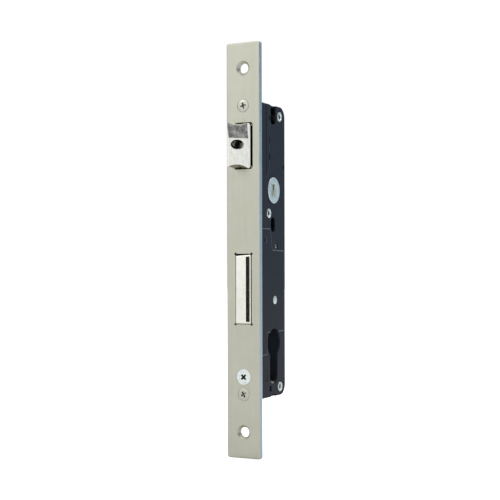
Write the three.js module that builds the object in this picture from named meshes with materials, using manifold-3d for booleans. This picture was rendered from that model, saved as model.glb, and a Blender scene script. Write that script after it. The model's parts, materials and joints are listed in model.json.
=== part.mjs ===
// Narrow-stile mortise lock: 245 x 22 mm forend, 92 mm between spindle and cylinder, 25 mm backset.
// Millimetres. +X is the cover side, +Y goes into the door, +Z is up.
// The origin is on the rear face of the forend, half way up it. The latch is out and the bolt is in.
import * as THREE from "three";
import { mergeVertices } from "three/addons/utils/BufferGeometryUtils.js";
import Module from "manifold-3d";

// ---- driving dimensions ----
const GAP = 0.3; // play between neighbours
const FOREND = { width: 22, length: 245, thick: 3, corner: 1.2, seatRelief: 0.1 };
const FIXING = { z: 107.25, hole: 6, countersink: 8.6 };
const AXIS_Y = 22; // 25 mm backset, measured from the front of the 3 mm forend
const SPINDLE_Z = 36.4;
const CYLINDER_Z = SPINDLE_Z - 92;
const CASE = { front: 0.3, back: 38, top: 87.8, bottom: -88.2, corner: 6.5, sheet: 1.2 };
const BODY_X = -8; // outer face of the case body's plate
const COVER_X = 7.8; // outer face of the cover
const RAISED = 0.5; // how far the pressed areas of the cover stand out
const INNER_X = [BODY_X + CASE.sheet + GAP, COVER_X - CASE.sheet - GAP]; // room between the two plates

const EURO = { radius: 8.65, slot: 10.2, bottom: -80.7 };
const ROSETTE = { y: 21.4, z: 15.6, width: 5.9, height: 9 };
const RIVET = { radius: 3, bore: 1.5, shoulder: 3.9, upper: [30.8, 81.8], lower: [30.8, -83] };
const STOP_POST = { y: 15.6, z: 22.3, radius: 3, bore: 1.7 };
const BOLT_PIN = { y: 22.8, z: -30, radius: 2.5 };
const SPRING_POST = { y: 26, z: 2.6, radius: 1.45 };

const CASE_SCREW = { upper: 85.1, lower: -84.9, head: 3.65, shank: 1.75, tip: 9 };
const CYLINDER_SCREW = { z: -74.7, head: 4.65, shank: 2.5, tip: 15.8 };
const NUT_PLATE = { y: [10.7, 13.4], z: [-77.7, -72] };

const LATCH_SLOT = { x: [-6.2, 6.3], z: [47.7, 75.2], corner: 1.6 };
const LATCH = { x: [-5.9, 5.2], z: [48.1, 74.8], tip: -12.3, heel: -2.2, rear: 4 };
const LATCH_BORE = { x: -1, z: 61.9, radius: 2.75, floor: -1 };
const LATCH_NOSE = 1.2; // the width of the blunt tip in front of the bevel
const LATCH_FACET = { z: 65.6, tilt: 5 }; // above z the bevel leans back by tilt degrees
const LATCH_SCOOP = { radius: 12, x: -0.9, depths: [2, 1.75], fade: 0.27 }; // depths lower and upper
const LATCH_RELIEF = { x: 3.9, y: -1.6, z: [49.6, 73.3] }; // hollow behind the cover side's lip
const LATCH_TRAVEL = 9.3;
const LATCH_GUIDE_Y = [21.8, 23.3];
const ROD_RADIUS = 2.3;

const TURN = THREE.MathUtils.degToRad(35); // what the handle turns the follower by
const ARM = { radius: LATCH_TRAVEL / TURN, nose: 2, halfWidth: 1.6 }; // the arm swings evenly about the vertical
const LOBE = { radius: 10, nose: 1.5, x: [1.9, 5.2] }; // the front lobe swings evenly about the horizontal
const HUB = { radius: 7.9, flange: 9, square: 8 };

const BOLT_SLOT = { x: [-5.2, 5.45], z: [-43.6, -2.1], relief: 0.75 };
const BOLT = { x: [-4.9, 5.1], z: [-43.2, -2.6], front: -3.5, rear: 18 };
const BOLT_GROOVE = { x: [2.2, 4.4], z: [-42.3, -3.9], depth: 6 };
const TAIL = { x: [-1, 1], z: [-43, -21], rear: 36 };
const TUMBLER = { x: [1.6, 3.4], y: [19.4, 29.4], z: [-41, -17], lift: 3 };

// ---- finishes ----
const finish = (color, roughness, metalness) => () =>
  new THREE.MeshStandardMaterial({ color, roughness, metalness });
const BRUSHED_STEEL = finish("#bdbcb0", 0.38, 0.9);
const CASE_PAINT = finish("#343a42", 0.45, 0.2);
const NICKEL = finish("#dcdbd4", 0.2, 1);
const ZINC = finish("#c4c9cb", 0.35, 0.9);
const WARM_NICKEL = finish("#b3afa2", 0.3, 0.9);
const DIE_CAST = finish("#9a9c9c", 0.5, 0.7);
const SPRING_STEEL = finish("#74777a", 0.3, 1);

// ---- solids: three.js makes the shapes, manifold-3d only joins and cuts them ----
const wasm = await Module();
wasm.setup();

function solid(geometry) {
  geometry.deleteAttribute("normal");
  geometry.deleteAttribute("uv");
  const merged = mergeVertices(geometry, 1e-4);
  const triVerts = new Uint32Array(merged.index.array);
  const vertProperties = new Float32Array(merged.attributes.position.array);
  const made = new wasm.Manifold(new wasm.Mesh({ numProp: 3, vertProperties, triVerts }));
  if (made.volume() > 0) return made;
  for (let i = 0; i < triVerts.length; i += 3) {
    [triVerts[i], triVerts[i + 1]] = [triVerts[i + 1], triVerts[i]];
  }
  return new wasm.Manifold(new wasm.Mesh({ numProp: 3, vertProperties, triVerts }));
}

const join = (...solids) => solids.reduce((a, b) => a.add(b));
const cut = (from, ...tools) => tools.reduce((a, b) => a.subtract(b), from);

function box([x0, x1], [y0, y1], [z0, z1]) {
  const geometry = new THREE.BoxGeometry(x1 - x0, y1 - y0, z1 - z0);
  return solid(geometry.translate((x0 + x1) / 2, (y0 + y1) / 2, (z0 + z1) / 2));
}

// A round bar along X at (y, z), along Y at (x, z) or along Z at (x, y).
function barX(radius, y, z, [x0, x1], sides = 24) {
  const geometry = new THREE.CylinderGeometry(radius, radius, x1 - x0, sides);
  return solid(geometry.rotateZ(Math.PI / 2).translate((x0 + x1) / 2, y, z));
}
function barY(radius, x, z, [y0, y1], sides = 24) {
  const geometry = new THREE.CylinderGeometry(radius, radius, y1 - y0, sides);
  return solid(geometry.translate(x, (y0 + y1) / 2, z));
}
function barZ(radius, x, y, [z0, z1], sides = 16) {
  const geometry = new THREE.CylinderGeometry(radius, radius, z1 - z0, sides);
  return solid(geometry.rotateX(Math.PI / 2).translate(x, y, (z0 + z1) / 2));
}

// Outlines drawn in the Y-Z plane and pushed along X, in X-Z and along Y, or in X-Y and along Z.
const SIDE_PLANE = new THREE.Matrix4().makeBasis(
  new THREE.Vector3(0, 1, 0),
  new THREE.Vector3(0, 0, 1),
  new THREE.Vector3(1, 0, 0),
);
const FRONT_PLANE = new THREE.Matrix4().makeBasis(
  new THREE.Vector3(1, 0, 0),
  new THREE.Vector3(0, 0, 1),
  new THREE.Vector3(0, -1, 0),
);
function push(shape, depth, curveSegments = 6) {
  return new THREE.ExtrudeGeometry(shape, { depth, bevelEnabled: false, curveSegments });
}
const plateX = (shape, [x0, x1]) => solid(push(shape, x1 - x0).applyMatrix4(SIDE_PLANE).translate(x0, 0, 0));
const plateY = (shape, [y0, y1]) => solid(push(shape, y1 - y0).applyMatrix4(FRONT_PLANE).translate(0, y1, 0));
const plateZ = (shape, [z0, z1]) => solid(push(shape, z1 - z0).translate(0, 0, z0));

const outline = (points) => new THREE.Shape(points.map(([a, b]) => new THREE.Vector2(a, b)));

// A rectangle whose four corners have radii from lower left, anticlockwise.
function rounded([a0, a1], [b0, b1], [r0, r1, r2, r3]) {
  const shape = new THREE.Shape();
  shape.moveTo(a0 + r0, b0);
  shape.lineTo(a1 - r1, b0);
  if (r1) shape.absarc(a1 - r1, b0 + r1, r1, -Math.PI / 2, 0, false);
  shape.lineTo(a1, b1 - r2);
  if (r2) shape.absarc(a1 - r2, b1 - r2, r2, 0, Math.PI / 2, false);
  shape.lineTo(a0 + r3, b1);
  if (r3) shape.absarc(a0 + r3, b1 - r3, r3, Math.PI / 2, Math.PI, false);
  shape.lineTo(a0, b0 + r0);
  if (r0) shape.absarc(a0 + r0, b0 + r0, r0, Math.PI, Math.PI * 1.5, false);
  return shape;
}
const slotShape = (y, z, width, height) => {
  const r = width / 2;
  return rounded([y - r, y + r], [z - height / 2, z + height / 2], [r, r, r, r]);
};

// A turned piece on an axis along Y at (x, z), from pairs of radius and y.
function turned(profile, x, z, sides = 24) {
  const points = profile.map(([r, y]) => new THREE.Vector2(r, y));
  return solid(new THREE.LatheGeometry(points, sides).translate(x, 0, z));
}

// A countersunk hole from the forend's front, or the screw that sits in it.
const FRONT_Y = -FOREND.thick;
function countersunk(x, z, head, shank, tip, front = FRONT_Y) {
  const seat = front + (head - shank);
  return turned([[0, front], [head, front], [shank, seat], [shank, tip], [0, tip]], x, z);
}
function crossRecess(x, z, size, depth, angle) {
  const arm = () => new THREE.BoxGeometry(size, depth * 2, size * 0.2);
  const place = (geometry, turn) => solid(geometry.rotateY(turn).translate(x, FRONT_Y, z));
  return join(place(arm(), angle), place(arm(), angle + Math.PI / 2));
}

// Wire bent along a curve.
function wire(curve, radius, steps, sides = 8) {
  const section = new THREE.Shape();
  section.absarc(0, 0, radius, 0, Math.PI * 2, false);
  const options = { extrudePath: curve, steps, curveSegments: sides / 2, bevelEnabled: false };
  return solid(new THREE.ExtrudeGeometry(section, options));
}

// A coil spring's centre line about +Z, with its end turns closed.
class Coil extends THREE.Curve {
  constructor(radius, length, turns, wireRadius) {
    super();
    Object.assign(this, { radius, length, turns, wireRadius });
  }
  getPoint(t) {
    const angle = Math.PI * 2 * this.turns * t;
    const closed = 1 / this.turns; // each end turn lies flat
    const climb = THREE.MathUtils.clamp((t - closed) / (1 - 2 * closed), 0, 1);
    const stacked = Math.min(t, closed) + Math.max(t - (1 - closed), 0);
    const flat = 2.1 * this.wireRadius; // an end turn rises by its own wire
    const rise = (stacked / closed) * flat + climb * (this.length - 2 * this.wireRadius - 2 * flat);
    return new THREE.Vector3(
      this.radius * Math.cos(angle),
      this.radius * Math.sin(angle),
      this.wireRadius + rise,
    );
  }
}
function coilSpring(radius, length, turns, wireRadius, place) {
  const made = wire(new Coil(radius, length, turns, wireRadius), wireRadius, Math.round(turns * 12), 6);
  const mesh = made.getMesh();
  const geometry = new THREE.BufferGeometry();
  geometry.setAttribute("position", new THREE.BufferAttribute(new Float32Array(mesh.vertProperties), 3));
  geometry.setIndex(new THREE.BufferAttribute(new Uint32Array(mesh.triVerts), 1));
  return solid(geometry.applyMatrix4(place));
}

// ---- the assembly ----
const lock = new THREE.Group();
function add(name, made, makeFinish) {
  const mesh = made.getMesh();
  const geometry = new THREE.BufferGeometry();
  geometry.setAttribute("position", new THREE.BufferAttribute(new Float32Array(mesh.vertProperties), 3));
  geometry.setIndex(new THREE.BufferAttribute(new Uint32Array(mesh.triVerts), 1));
  const flat = geometry.toNonIndexed();
  flat.computeVertexNormals();
  const piece = new THREE.Mesh(flat, makeFinish());
  piece.name = name;
  lock.add(piece);
}

// ---- openings that both plates of the case share ----
function euroOpening() {
  const half = EURO.slot / 2;
  const slot = rounded(
    [AXIS_Y - half, AXIS_Y + half],
    [EURO.bottom, CYLINDER_Z],
    [half, half, 0, 0],
  );
  return join(barX(EURO.radius, AXIS_Y, CYLINDER_Z, [-10, 10], 36), plateX(slot, [-10, 10]));
}
function sharedOpenings() {
  return join(
    euroOpening(),
    barX(HUB.radius + GAP, AXIS_Y, SPINDLE_Z, [-10, 10], 36),
    plateX(slotShape(ROSETTE.y, ROSETTE.z, ROSETTE.width, ROSETTE.height), [-10, 10]),
    barX(RIVET.radius + GAP, ...RIVET.upper, [-10, 10]),
    barX(RIVET.radius + GAP, ...RIVET.lower, [-10, 10]),
    barX(STOP_POST.radius + GAP, STOP_POST.y, STOP_POST.z, [-10, 10]),
    barX(BOLT_PIN.radius + GAP, BOLT_PIN.y, BOLT_PIN.z, [-10, 10]),
    barX(SPRING_POST.radius + GAP, SPRING_POST.y, SPRING_POST.z, [-10, 10], 16),
    box([-10, 10], [NUT_PLATE.y[0] - GAP, NUT_PLATE.y[1] + GAP], [NUT_PLATE.z[0] - GAP, NUT_PLATE.z[1] + GAP]),
  );
}

// ---- forend ----
function forend() {
  const half = FOREND.width / 2;
  const end = FOREND.length / 2;
  const c = FOREND.corner;
  const plate = plateY(rounded([-half, half], [-end, end], [c, c, c, c]), [FRONT_Y, 0]);
  const seat = box([-half - 1, half + 1], [-FOREND.seatRelief, 1], [CASE.bottom - 1, CASE.top + 1]);
  const [bx, bz] = [BOLT_SLOT.x, BOLT_SLOT.z];
  const reliefs = bx.flatMap((x) =>
    bz.map((z) => barY(BOLT_SLOT.relief, x, z, [FRONT_Y - 1, 1], 16)),
  );
  const r = LATCH_SLOT.corner;
  const hole = (z, head, shank) => countersunk(0, z, head + GAP, shank + GAP, 1, FRONT_Y - 0.01);
  return cut(
    plate,
    seat,
    plateY(rounded(LATCH_SLOT.x, LATCH_SLOT.z, [r, r, r, r]), [FRONT_Y - 1, 1]),
    box(bx, [FRONT_Y - 1, 1], bz),
    ...reliefs,
    countersunk(0, FIXING.z, FIXING.countersink / 2, FIXING.hole / 2, 1, FRONT_Y - 0.01),
    countersunk(0, -FIXING.z, FIXING.countersink / 2, FIXING.hole / 2, 1, FRONT_Y - 0.01),
    hole(CASE_SCREW.upper, CASE_SCREW.head, CASE_SCREW.shank),
    hole(CASE_SCREW.lower, CASE_SCREW.head, CASE_SCREW.shank),
    hole(CYLINDER_SCREW.z, CYLINDER_SCREW.head, CYLINDER_SCREW.shank),
  );
}
add("forend", forend(), BRUSHED_STEEL);

// ---- case body: the far plate with its back, top and bottom walls and two front flanges ----
const BLOCK_BACK = 9.7; // rear of the two end blocks
function caseBody() {
  const { front, back, top, bottom, corner, sheet } = CASE;
  const depth = [front, back];
  const height = [bottom, top];
  const corners = [0, corner, corner, 0];
  const plate = plateX(rounded(depth, height, corners), [BODY_X, BODY_X + sheet]);
  const wallX = [BODY_X, INNER_X[1]];
  const shell = plateX(rounded(depth, height, corners), wallX);
  const room = plateX(
    rounded([front - 1, back - sheet], [bottom + sheet, top - sheet], [0, corner - sheet, corner - sheet, 0]),
    [BODY_X - 1, 20],
  );
  const blockRoom = (z0, z1) => box([BODY_X + sheet, 20], [front - 1, BLOCK_BACK + GAP], [z0, z1]);
  const walls = cut(shell, room, blockRoom(top - 9, top + 1), blockRoom(bottom - 1, bottom + 9));
  const flange = (z) => box([BODY_X, INNER_X[1]], [front, front + sheet], z);
  return cut(
    join(plate, walls, flange([6, 42]), flange([-66, -47])),
    sharedOpenings(),
    box([-9, -6], [18, 24.5], [bottom - 1, bottom + 1.5]),
  );
}
add("case_body", caseBody(), CASE_PAINT);

// ---- case cover: the near plate, pressed out over the bolt and along the front ----
function caseCover() {
  const { front, back, top, bottom, corner, sheet } = CASE;
  const outer = [COVER_X - sheet, COVER_X];
  const plate = plateX(rounded([front, back], [bottom, top], [0, corner, corner, 0]), outer);
  const raisedX = [COVER_X - 0.2, COVER_X + RAISED];
  const boltField = outline([
    [front, 13.3],
    [front, -62.6],
    [13.6, -62.6],
    [13.6, -49.4],
    [36.3, -49.4],
    [36.3, -1.2],
    [34.9, 0.2],
    [19.7, 0.5],
    [17.3, 13.3],
  ]);
  const frontBand = outline([
    [front, 13.2],
    [11.4, 13.2],
    [11.4, 44],
    [16.3, 49],
    [16.3, top],
    [front, top],
  ]);
  const fold = box([COVER_X + RAISED - 0.2, COVER_X + 2], [11.1, 11.6], [49, top + 1]);
  const slit = (y, z) => box([5, 10], y, z);
  const bay = rounded([18.4, 25.4], [76.2, top + 4], [2.2, 2.2, 0, 0]);
  return cut(
    join(plate, plateX(boltField, raisedX), plateX(frontBand, raisedX)),
    fold,
    sharedOpenings(),
    plateX(bay, [5, 10]),
    slit([18, 24.5], [bottom - 1, bottom + 1.5]),
    slit([back - 1.2, back + 1], [50, 52.8]),
    slit([15.2, 17], [78, 81.3]),
    slit([15.2, 17], [63.9, 68.1]),
    slit([15.2, 17], [54.3, 58.5]),
    slit([16.3, 18.8], [-84.8, -81.5]),
    barX(1.65, 10, 6.3, [COVER_X + RAISED - 0.4, 10], 20),
  );
}
add("case_cover", caseCover(), CASE_PAINT);

// ---- end blocks, which the two case screws thread into ----
function endBlock(screwZ, [z0, z1]) {
  const blank = box(INNER_X, [CASE.front, BLOCK_BACK], [z0, z1]);
  return cut(blank, barY(CASE_SCREW.shank + GAP, 0, screwZ, [-1, 20]));
}
const BLOCK_HEIGHT = 7.6;
add("end_block_upper", endBlock(CASE_SCREW.upper, [CASE.top - BLOCK_HEIGHT, CASE.top]), DIE_CAST);
add("end_block_lower", endBlock(CASE_SCREW.lower, [CASE.bottom, CASE.bottom + BLOCK_HEIGHT]), DIE_CAST);

// ---- screws ----
function caseScrew(z, angle) {
  const made = countersunk(0, z, CASE_SCREW.head, CASE_SCREW.shank, CASE_SCREW.tip);
  return cut(made, crossRecess(0, z, 4, 1.4, angle));
}
add("case_screw_upper", caseScrew(CASE_SCREW.upper, 0.2), WARM_NICKEL);
add("case_screw_lower", caseScrew(CASE_SCREW.lower, 0.5), WARM_NICKEL);

function cylinderScrew() {
  const { z, head, shank, tip } = CYLINDER_SCREW;
  return cut(countersunk(0, z, head, shank, tip), crossRecess(0, z, 5.2, 1.8, Math.PI / 4));
}
add("cylinder_screw", cylinderScrew(), ZINC);

// The nut plate's ends stand in slits of both case plates, and the cylinder screw threads through it.
function cylinderNutPlate() {
  const blank = box([BODY_X + 0.1, COVER_X - 0.1], NUT_PLATE.y, NUT_PLATE.z);
  return cut(blank, barY(CYLINDER_SCREW.shank + GAP, 0, CYLINDER_SCREW.z, [5, 20]));
}
add("cylinder_nut_plate", cylinderNutPlate(), CASE_PAINT);

// ---- rivets, posts and pins between the plates ----
const THROUGH_X = [BODY_X - 0.1, COVER_X + 0.3];
function rivet([y, z]) {
  const tube = join(
    barX(RIVET.radius, y, z, THROUGH_X),
    barX(RIVET.shoulder, y, z, INNER_X),
  );
  return cut(tube, barX(RIVET.bore, y, z, [-10, 10], 16));
}
add("case_rivet_upper", rivet(RIVET.upper), ZINC);
add("case_rivet_lower", rivet(RIVET.lower), ZINC);

function stopPost() {
  const { y, z, radius, bore } = STOP_POST;
  return cut(barX(radius, y, z, THROUGH_X), barX(bore, y, z, [-10, 10], 16));
}
add("stop_post", stopPost(), ZINC);
add("bolt_guide_pin", barX(BOLT_PIN.radius, BOLT_PIN.y, BOLT_PIN.z, [BODY_X - 0.1, COVER_X + RAISED + 0.3]), ZINC);
add("spring_post", barX(SPRING_POST.radius, SPRING_POST.y, SPRING_POST.z, [BODY_X, COVER_X - 0.4], 20), ZINC);

// ---- latch ----
function latchHead() {
  const [x0, x1] = LATCH.x;
  const { tip, heel, rear } = LATCH;
  const plan = outline([
    [x0, rear],
    [x0, tip + 0.4],
    [x0 + 0.4, tip],
    [x0 + LATCH_NOSE, tip],
    [x1, heel],
    [x1, rear],
  ]);
  const [alongX, alongY] = [x1 - x0 - LATCH_NOSE, heel - tip];
  const bevel = Math.hypot(alongX, alongY);
  // A hollow across the bevel, square to it, that grows shallower behind it; side is 1 above and -1 below.
  const scoop = (edge, side, depth) => {
    const { radius: scoopRadius, x: scoopX, fade } = LATCH_SCOOP;
    const bar = new THREE.CylinderGeometry(scoopRadius, scoopRadius, 24, 48);
    const lean = new THREE.Matrix4().makeShear(0, 0, 0, side * fade, 0, 0);
    const faceY = heel - ((x1 - scoopX) * alongY) / alongX;
    bar.applyMatrix4(lean).rotateZ(Math.atan2(alongY, alongX));
    return solid(bar.translate(scoopX, faceY, edge + side * (scoopRadius - depth)));
  };
  const { x, z, radius, floor } = LATCH_BORE;
  const r = LATCH_SLOT.corner - GAP;
  const bar = plateY(rounded(LATCH.x, LATCH.z, [r, r, r, r]), [tip - 1, rear + 1]);
  const tilt = (LATCH_FACET.tilt * Math.PI) / 180;
  const facet = [
    (-alongY / bevel) * Math.cos(tilt),
    (alongX / bevel) * Math.cos(tilt),
    -Math.sin(tilt),
  ];
  const facetOffset = facet[0] * x1 + facet[1] * heel + facet[2] * LATCH_FACET.z;
  return cut(
    plateZ(plan, LATCH.z).intersect(bar).trimByPlane(facet, facetOffset),
    scoop(LATCH.z[0], -1, LATCH_SCOOP.depths[0]),
    scoop(LATCH.z[1], 1, LATCH_SCOOP.depths[1]),
    box([LATCH_RELIEF.x, x1 + 1], [LATCH_RELIEF.y, rear + 1], LATCH_RELIEF.z),
    barY(radius, x, z, [tip - 1, floor]),
    barY(1.5 + GAP, x, z, [floor - 1, rear + 1], 20),
  );
}
add("latch_head", latchHead(), NICKEL);

// The slotted screw at the bottom of the bore holds the reversible head to its carriage.
function latchScrew() {
  const { x, z, floor } = LATCH_BORE;
  const top = floor - 2.2;
  const head = barY(2.4, x, z, [top, floor - GAP], 24);
  const shank = barY(1.5, x, z, [floor - 1, 9], 20);
  const slot = new THREE.BoxGeometry(6, 1.8, 0.8).rotateY(-Math.PI / 5).translate(x, top, z);
  return cut(join(head, shank), solid(slot));
}
add("latch_screw", latchScrew(), SPRING_STEEL);

// A cradle behind the head, wider than the forend's slot so that it stops the latch, and the rod for the spring.
const CRADLE = { y: [LATCH.rear + GAP, 7.3], z: [46, 76.6], stop: 0.6 };
function latchCarriage() {
  const { y, z, stop } = CRADLE;
  const { x: boreX, z: boreZ } = LATCH_BORE;
  const web = box([LATCH.x[0], LATCH.x[1]], y, z);
  const upper = box(LATCH.x, [stop, y[1]], [LATCH.z[1] + GAP, z[1]]);
  const lower = box(LATCH.x, [stop, y[1]], [z[0], LATCH.z[0] - GAP]);
  const rod = barY(ROD_RADIUS, boreX, boreZ, [y[0], 26.6], 24);
  return cut(
    join(web, upper, lower, rod),
    barY(1.5 + GAP, boreX, boreZ, [0, 9 + GAP], 20),
    box([-1.55, 1.55], [y[1] - 1.5, 30], [53.6, 57.7]),
  );
}
add("latch_carriage", latchCarriage(), DIE_CAST);

// A steel strip, seated in the carriage, whose rear end hooks down behind the follower's arm.
const START = -TURN / 2; // angle of the arm at rest, back from the vertical
const noseY = AXIS_Y + ARM.radius * Math.sin(START);
const HOOK_Y = noseY + ARM.nose + GAP;
function latchPullPlate() {
  return plateX(
    outline([
      [CRADLE.y[1] - 1.2, 54],
      [HOOK_Y, 54],
      [HOOK_Y, 50.7],
      [HOOK_Y + 2.6, 50.7],
      [HOOK_Y + 2.6, 57.3],
      [CRADLE.y[1] - 1.2, 57.3],
    ]),
    [-1.25, 1.25],
  );
}
add("latch_pull_plate", latchPullPlate(), ZINC);

// A bracket across the case that guides the rod and takes the spring.
function latchGuide() {
  const { x, z } = LATCH_BORE;
  const web = box(INNER_X, LATCH_GUIDE_Y, [58.2, 72]);
  const foot = box([INNER_X[0], INNER_X[0] + 1.2], [LATCH_GUIDE_Y[0], 30], [60, 72]);
  return cut(join(web, foot), barY(ROD_RADIUS + GAP, x, z, [20, 25], 24));
}
add("latch_guide", latchGuide(), ZINC);

const alongY = (x, y, z) =>
  new THREE.Matrix4().makeTranslation(x, y, z).multiply(new THREE.Matrix4().makeRotationX(-Math.PI / 2));
function latchSpring() {
  const from = CRADLE.y[1] + GAP;
  const length = LATCH_GUIDE_Y[0] - GAP - from;
  return coilSpring(3.05, length, 5.5, 0.4, alongY(LATCH_BORE.x, from, LATCH_BORE.z));
}
add("latch_spring", latchSpring(), SPRING_STEEL);

// ---- follower: a hub with a square hole, an upright arm for the latch and a front lobe for the change slide ----
function follower() {
  const journal = barX(HUB.radius, AXIS_Y, SPINDLE_Z, [BODY_X - 0.2, COVER_X + 0.5], 36);
  const flange = (x) => barX(HUB.flange, AXIS_Y, SPINDLE_Z, x, 36);
  const arm = (length, nose, x, angle) => {
    const bar = push(
      rounded([-nose, nose], [0, length + nose], [0, 0, nose, nose]),
      x[1] - x[0],
      5,
    );
    const place = new THREE.Matrix4().makeRotationX(-angle).setPosition(0, AXIS_Y, SPINDLE_Z);
    return solid(bar.applyMatrix4(SIDE_PLANE).translate(x[0], 0, 0).applyMatrix4(place));
  };
  const half = HUB.square / 2;
  return cut(
    join(
      journal,
      flange([COVER_X - CASE.sheet - GAP - 0.9, COVER_X - CASE.sheet - GAP]),
      flange([-2.2, -1.6]),
      arm(ARM.radius, ARM.nose, [-ARM.halfWidth, ARM.halfWidth], START),
      arm(LOBE.radius, LOBE.nose, LOBE.x, START - Math.PI / 2),
    ),
    box([-10, 10], [AXIS_Y - half, AXIS_Y + half], [SPINDLE_Z - half, SPINDLE_Z + half]),
  );
}
add("follower", follower(), ZINC);

// A torsion spring round the hub: one leg hooks behind the arm, the other rests behind the stop post.
const TORSION = {
  wire: 0.6,
  coil: HUB.radius + GAP + 0.6,
  turns: 2,
  x: [-3.1, -5.6],
  armEnd: [22.4, 47.4],
  postEnd: [STOP_POST.y + STOP_POST.radius + 1, STOP_POST.z + 0.1],
};
// The angle at which a line from a point meets the coil's circle, on the side that is given.
function tangentAngle([y, z], side) {
  const [dy, dz] = [y - AXIS_Y, z - SPINDLE_Z];
  return Math.atan2(dz, dy) + side * Math.acos(TORSION.coil / Math.hypot(dy, dz));
}
function torsionLine() {
  const { coil, turns, armEnd, postEnd } = TORSION;
  const [xIn, xOut] = TORSION.x;
  const from = tangentAngle(armEnd, -1);
  const to = tangentAngle(postEnd, 1) - Math.PI * 2 * turns;
  const count = 44;
  const points = [
    new THREE.Vector3(1.2, armEnd[0] - 0.4, armEnd[1] + 0.2),
    new THREE.Vector3(-1.8, armEnd[0] - 0.4, armEnd[1] + 0.2),
    new THREE.Vector3(xIn, ...armEnd),
  ];
  for (let i = 0; i <= count; i++) {
    const angle = THREE.MathUtils.lerp(from, to, i / count);
    const x = THREE.MathUtils.lerp(xIn, xOut, i / count);
    points.push(
      new THREE.Vector3(x, AXIS_Y + coil * Math.cos(angle), SPINDLE_Z + coil * Math.sin(angle)),
    );
  }
  points.push(new THREE.Vector3(xOut, ...postEnd));
  return new THREE.CatmullRomCurve3(points, false, "centripetal");
}
add("follower_spring", wire(torsionLine(), TORSION.wire, 84, 6), SPRING_STEEL);

// ---- change slide: the cylinder's cam lifts its foot, and its head lifts the follower's front lobe ----
const lobeZ = SPINDLE_Z + LOBE.radius * Math.sin(START);
const lobeY = AXIS_Y - LOBE.radius * Math.cos(START);
const SLIDE_TOP = lobeZ - LOBE.nose - GAP;
function changeSlide() {
  const strap = [5.4, INNER_X[1]];
  const footZ = [-52, -50]; // below the bolt, where the cam's tip comes round
  const width = [7.6, 11.8];
  const long = box(strap, width, [footZ[0], SLIDE_TOP]);
  const head = box([2.2, strap[1]], [width[0], lobeY + 0.3], [SLIDE_TOP - 2, SLIDE_TOP]);
  const foot = box([-4, strap[1]], width, footZ);
  return join(long, head, foot);
}
add("change_slide", changeSlide(), ZINC);

// ---- deadbolt ----
function deadboltHead() {
  const [x0, x1] = BOLT.x;
  const [z0, z1] = BOLT.z;
  const lead = 0.5;
  const face = outline([
    [x0, z0],
    [x1, z0],
    [x1, z1],
    [x0, z1 - 0.7],
  ]);
  const seatZ = [TAIL.z[0] - GAP, TAIL.z[1] + GAP];
  const pinHole = (z) => barX(1.5 + GAP, 14, z, [-10, 10], 16);
  const chamfer = outline([
    [x0 - 1, BOLT.front - 1],
    [x0 + lead, BOLT.front - 1],
    [x0 - 1, BOLT.front + lead + 1],
  ]);
  return cut(
    plateY(face, [BOLT.front, BOLT.rear]),
    box(BOLT_GROOVE.x, [BOLT.front - 1, BOLT.front + BOLT_GROOVE.depth], BOLT_GROOVE.z),
    plateZ(chamfer, [z0 - 1, z1 + 1]),
    box([TAIL.x[0] - GAP, TAIL.x[1] + GAP], [10.7, BOLT.rear + 1], seatZ),
    pinHole(-25.5),
    pinHole(-38.5),
  );
}
add("deadbolt_head", deadboltHead(), NICKEL);

// The tail plate forks round the guide pin, and the cam works in the notch of its lower edge.
function deadboltTail() {
  const [z0, z1] = TAIL.z;
  const fork = BOLT_PIN.radius + GAP;
  const profile = outline([
    [11, z0],
    [17.2, z0],
    [18.4, -38.6],
    [25.6, -38.6],
    [26.8, z0],
    [TAIL.rear, z0],
    [TAIL.rear, BOLT_PIN.z - fork],
    [BOLT_PIN.y - fork, BOLT_PIN.z - fork],
    [BOLT_PIN.y - fork, BOLT_PIN.z + fork],
    [TAIL.rear, BOLT_PIN.z + fork],
    [TAIL.rear, z1],
    [11, z1],
  ]);
  const pinHole = (z) => barX(1.5 + GAP, 14, z, [-10, 10], 16);
  return cut(plateX(profile, TAIL.x), pinHole(-25.5), pinHole(-38.5));
}
add("deadbolt_tail", deadboltTail(), ZINC);
for (const [name, z] of [["deadbolt_rivet_upper", -25.5], ["deadbolt_rivet_lower", -38.5]]) {
  add(name, barX(1.5, 14, z, [BOLT.x[0] + 0.1, BOLT.x[1] - 0.1], 20), ZINC);
}

// ---- tumbler: a sprung plate beside the tail that the cam lifts before it throws the bolt ----
function tumbler() {
  const [y0, y1] = TUMBLER.y;
  const [z0, z1] = TUMBLER.z;
  const r = BOLT_PIN.radius + GAP;
  const guideSlot = rounded(
    [BOLT_PIN.y - r, BOLT_PIN.y + r],
    [BOLT_PIN.z - r - TUMBLER.lift, BOLT_PIN.z + r],
    [r, r, r, r],
  );
  const plate = plateX(rounded([y0, y1], [z0, z1], [2, 2, 1, 1]), TUMBLER.x);
  const peg = barZ(1.1, 2.5, SPRING_POST.y, [z1 - 0.5, z1 + 5], 16);
  return cut(join(plate, peg), plateX(guideSlot, [0, 5]));
}
add("tumbler", tumbler(), ZINC);

function tumblerSpring() {
  const from = TUMBLER.z[1] + GAP;
  const length = SPRING_POST.z - SPRING_POST.radius - GAP - from;
  const place = new THREE.Matrix4().makeTranslation(2.5, SPRING_POST.y, from);
  return coilSpring(1.95, length, 7.5, 0.3, place);
}
add("tumbler_spring", tumblerSpring(), SPRING_STEEL);

export default lock;
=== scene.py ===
"""Mortise lock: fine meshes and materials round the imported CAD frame.

Lengths are in millimetres until they become meshes. x runs to the cover side, y into the door
and z up."""
import json
import math

import bmesh
import bpy
from mathutils import Matrix, Vector
from mathutils.geometry import tessellate_polygon


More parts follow.
